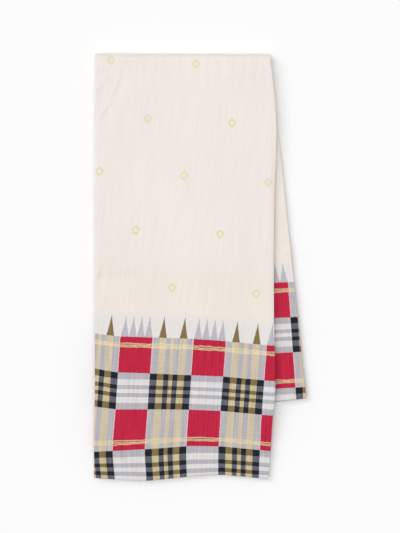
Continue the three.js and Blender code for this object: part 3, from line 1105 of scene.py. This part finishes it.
def cloth_material(name, painted_shade):
    """The woven cloth, with every colour darkened to the given share as painted shade."""
    material = bpy.data.materials.new(name)
    material.use_nodes = True
    shader = material.node_tree.nodes["Principled BSDF"]
    sums = Sums(material.node_tree)

    place, straight, (u, v) = places(sums)
    from_hem = sums.math("MINIMUM", v, sums.math("SUBTRACT", CLOTH_WIDTH, v))
    in_border = sums.math("LESS_THAN", from_hem, BORDER_TOP)
    border, thread = border_colour(sums, u, from_hem, place)
    field, diamond = field_colour(sums, u, v, from_hem, place)
    colour = sums.pick(in_border, field, border)

    light, streak, weft_streak = yarn_light(sums, place, in_border, colour)
    # painted shade: every colour is darkened by the given share
    light = sums.math("MULTIPLY", light, painted_shade)
    grey = sums.node("ShaderNodeCombineXYZ")
    for socket in grey.inputs:
        sums.put(socket, light)
    colour = sums.pick(1.0, colour, grey.outputs[0], blend="MULTIPLY")
    sums.put(shader.inputs["Base Color"], colour)

    shine = sums.math("MAXIMUM", thread, sums.math("MULTIPLY", diamond, DIAMOND_SHINE))
    sums.put(shader.inputs["Metallic"], sums.math("MULTIPLY", shine, METAL_SHARE))
    rough = sums.math("MULTIPLY_ADD", streak, ROUGH_STREAKS, ROUGH)
    rough = sums.math("MULTIPLY_ADD", shine, ROUGH_WHERE_GOLD, rough)
    sums.put(shader.inputs["Roughness"], rough)
    shader.inputs["Sheen Weight"].default_value = SHEEN
    shader.inputs["Sheen Roughness"].default_value = SHEEN_ROUGHNESS
    shader.inputs["Specular IOR Level"].default_value = GLOSS
    sums.put(shader.inputs["Normal"], yarn_relief(sums, straight, streak, weft_streak))
    return material


cloth_finish = cloth_material("cloth", 1.0)
# the hidden layers' copy of the cloth carries painted shade
shaded_layers_finish = cloth_material("cloth_layers", LAYERS_PAINTED_SHADE)
front_cloth.data.materials.append(cloth_finish)
back_cloth.data.materials.append(cloth_finish)
folded_cloth.data.materials.append(shaded_layers_finish)
print("nodes in the cloth material:", len(cloth_finish.node_tree.nodes))

# %% [markdown]
# ## Each piece on its body
# Each piece rides on the one body, and the solids whose place it takes are hidden. All three come
# from one cloth: the flat sizes in the table are the stretches of it that each piece shows, from one
# woven edge to the other.

# %% Bodies and solids
LAYER_WIDTH = 0.262
for piece, nodes, finish, cut in (
    (front_cloth, ["front_stretch", "under_stretch"], "cloth", LAYER_WIDTH + 2 * LIP * MM),
    (back_cloth, ["back_stretch"], "cloth", LAYER_WIDTH + 2 * LIP * MM),
    (folded_cloth, ["front_layers", "back_layers"], "cloth_layers", round(LAYERS * LAYER_WIDTH, 3)),
):
    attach(piece, "root")
    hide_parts(*nodes)

# %% [markdown]
# ## The floor
# A saree is laid out on a plain table to be looked at. A table with edges and grain would draw the
# eye, so one large pale square stands for it. It is matt, so that no bright patch shows, and wide
# enough that its edge never does.

# %% Floor
FLOOR_REACH = 6.0
FLOOR_GREY = 0.96
floor_mesh = bpy.data.meshes.new("floor")
floor_corners = [(-1, -1), (1, -1), (1, 1), (-1, 1)]
floor_mesh.from_pydata(
    [(x * FLOOR_REACH, y * FLOOR_REACH, 0) for x, y in floor_corners], [], [(0, 1, 2, 3)]
)
floor = in_scene("floor", floor_mesh)
floor_finish = bpy.data.materials.new("floor")
floor_finish.use_nodes = True
floor_shader = floor_finish.node_tree.nodes["Principled BSDF"]
floor_shader.inputs["Base Color"].default_value = (FLOOR_GREY, FLOOR_GREY, FLOOR_GREY, 1)
floor_shader.inputs["Roughness"].default_value = 0.9
floor_shader.inputs["Specular IOR Level"].default_value = 0.1
floor_mesh.materials.append(floor_finish)
print("floor is", 2 * FLOOR_REACH, "m across")

# %% [markdown]
# ## Light
# White cloth needs even light, or it turns grey where the light fades. Lamps near the cloth would
# fade across it, so both lights are far and wide. Most of the light comes from overhead, so hardly
# a shadow falls. A weaker one from the side grazes the creases, and a bright even sky fills the
# rest, as in a studio.

# %% Light
SKY_STRENGTH = 0.4
world = bpy.data.worlds.new("studio")
world.use_nodes = True
sky = world.node_tree.nodes["Background"]
sky.inputs["Color"].default_value = (1, 1, 1, 1)
sky.inputs["Strength"].default_value = SKY_STRENGTH
bpy.context.scene.world = world
bpy.context.scene.view_settings.view_transform = "Standard"


def soft_light(name, place, spread, strength):
    """A far, wide light that shines evenly over the whole floor."""
    data = bpy.data.lights.new(name, "SUN")
    data.angle = np.radians(spread)
    data.energy = strength
    light = in_scene(name, data)
    light.location = place
    towards = -light.location
    light.rotation_euler = towards.to_track_quat("-Z", "Y").to_euler()
    print(name, "light spreads over", spread, "degrees")


soft_light("overhead", place=(-0.2, -0.25, 3.0), spread=46, strength=1.36)
soft_light("side", place=(-2.0, 1.3, 2.3), spread=34, strength=0.82)

# %% [markdown]
# ## The camera
# The camera looks straight down. A long lens from far up shows the thick fold and the thin hem at
# one scale, as the real view does. The picture shows 0.7995 m over 533 rows. Its middle lies half a
# row above the row that every place was measured from, so the camera stands half a row up too.

# %% Camera
PICTURE_HEIGHT = 0.7995
PICTURE_ROWS = 533
HALF_ROW = PICTURE_HEIGHT / PICTURE_ROWS / 2
LENS = 200.0
SENSOR = 36.0
FARTHEST = 100.0
camera_data = bpy.data.cameras.new("camera")
camera_data.sensor_fit = "VERTICAL"
camera_data.sensor_height = SENSOR
camera_data.lens = LENS
camera_data.clip_end = FARTHEST
camera = in_scene("camera", camera_data)
camera.location = (0, HALF_ROW, PICTURE_HEIGHT * LENS / SENSOR + FOLD_RADIUS * MM)
bpy.context.scene.camera = camera
print("camera height, m:", round(camera.location.z, 3))
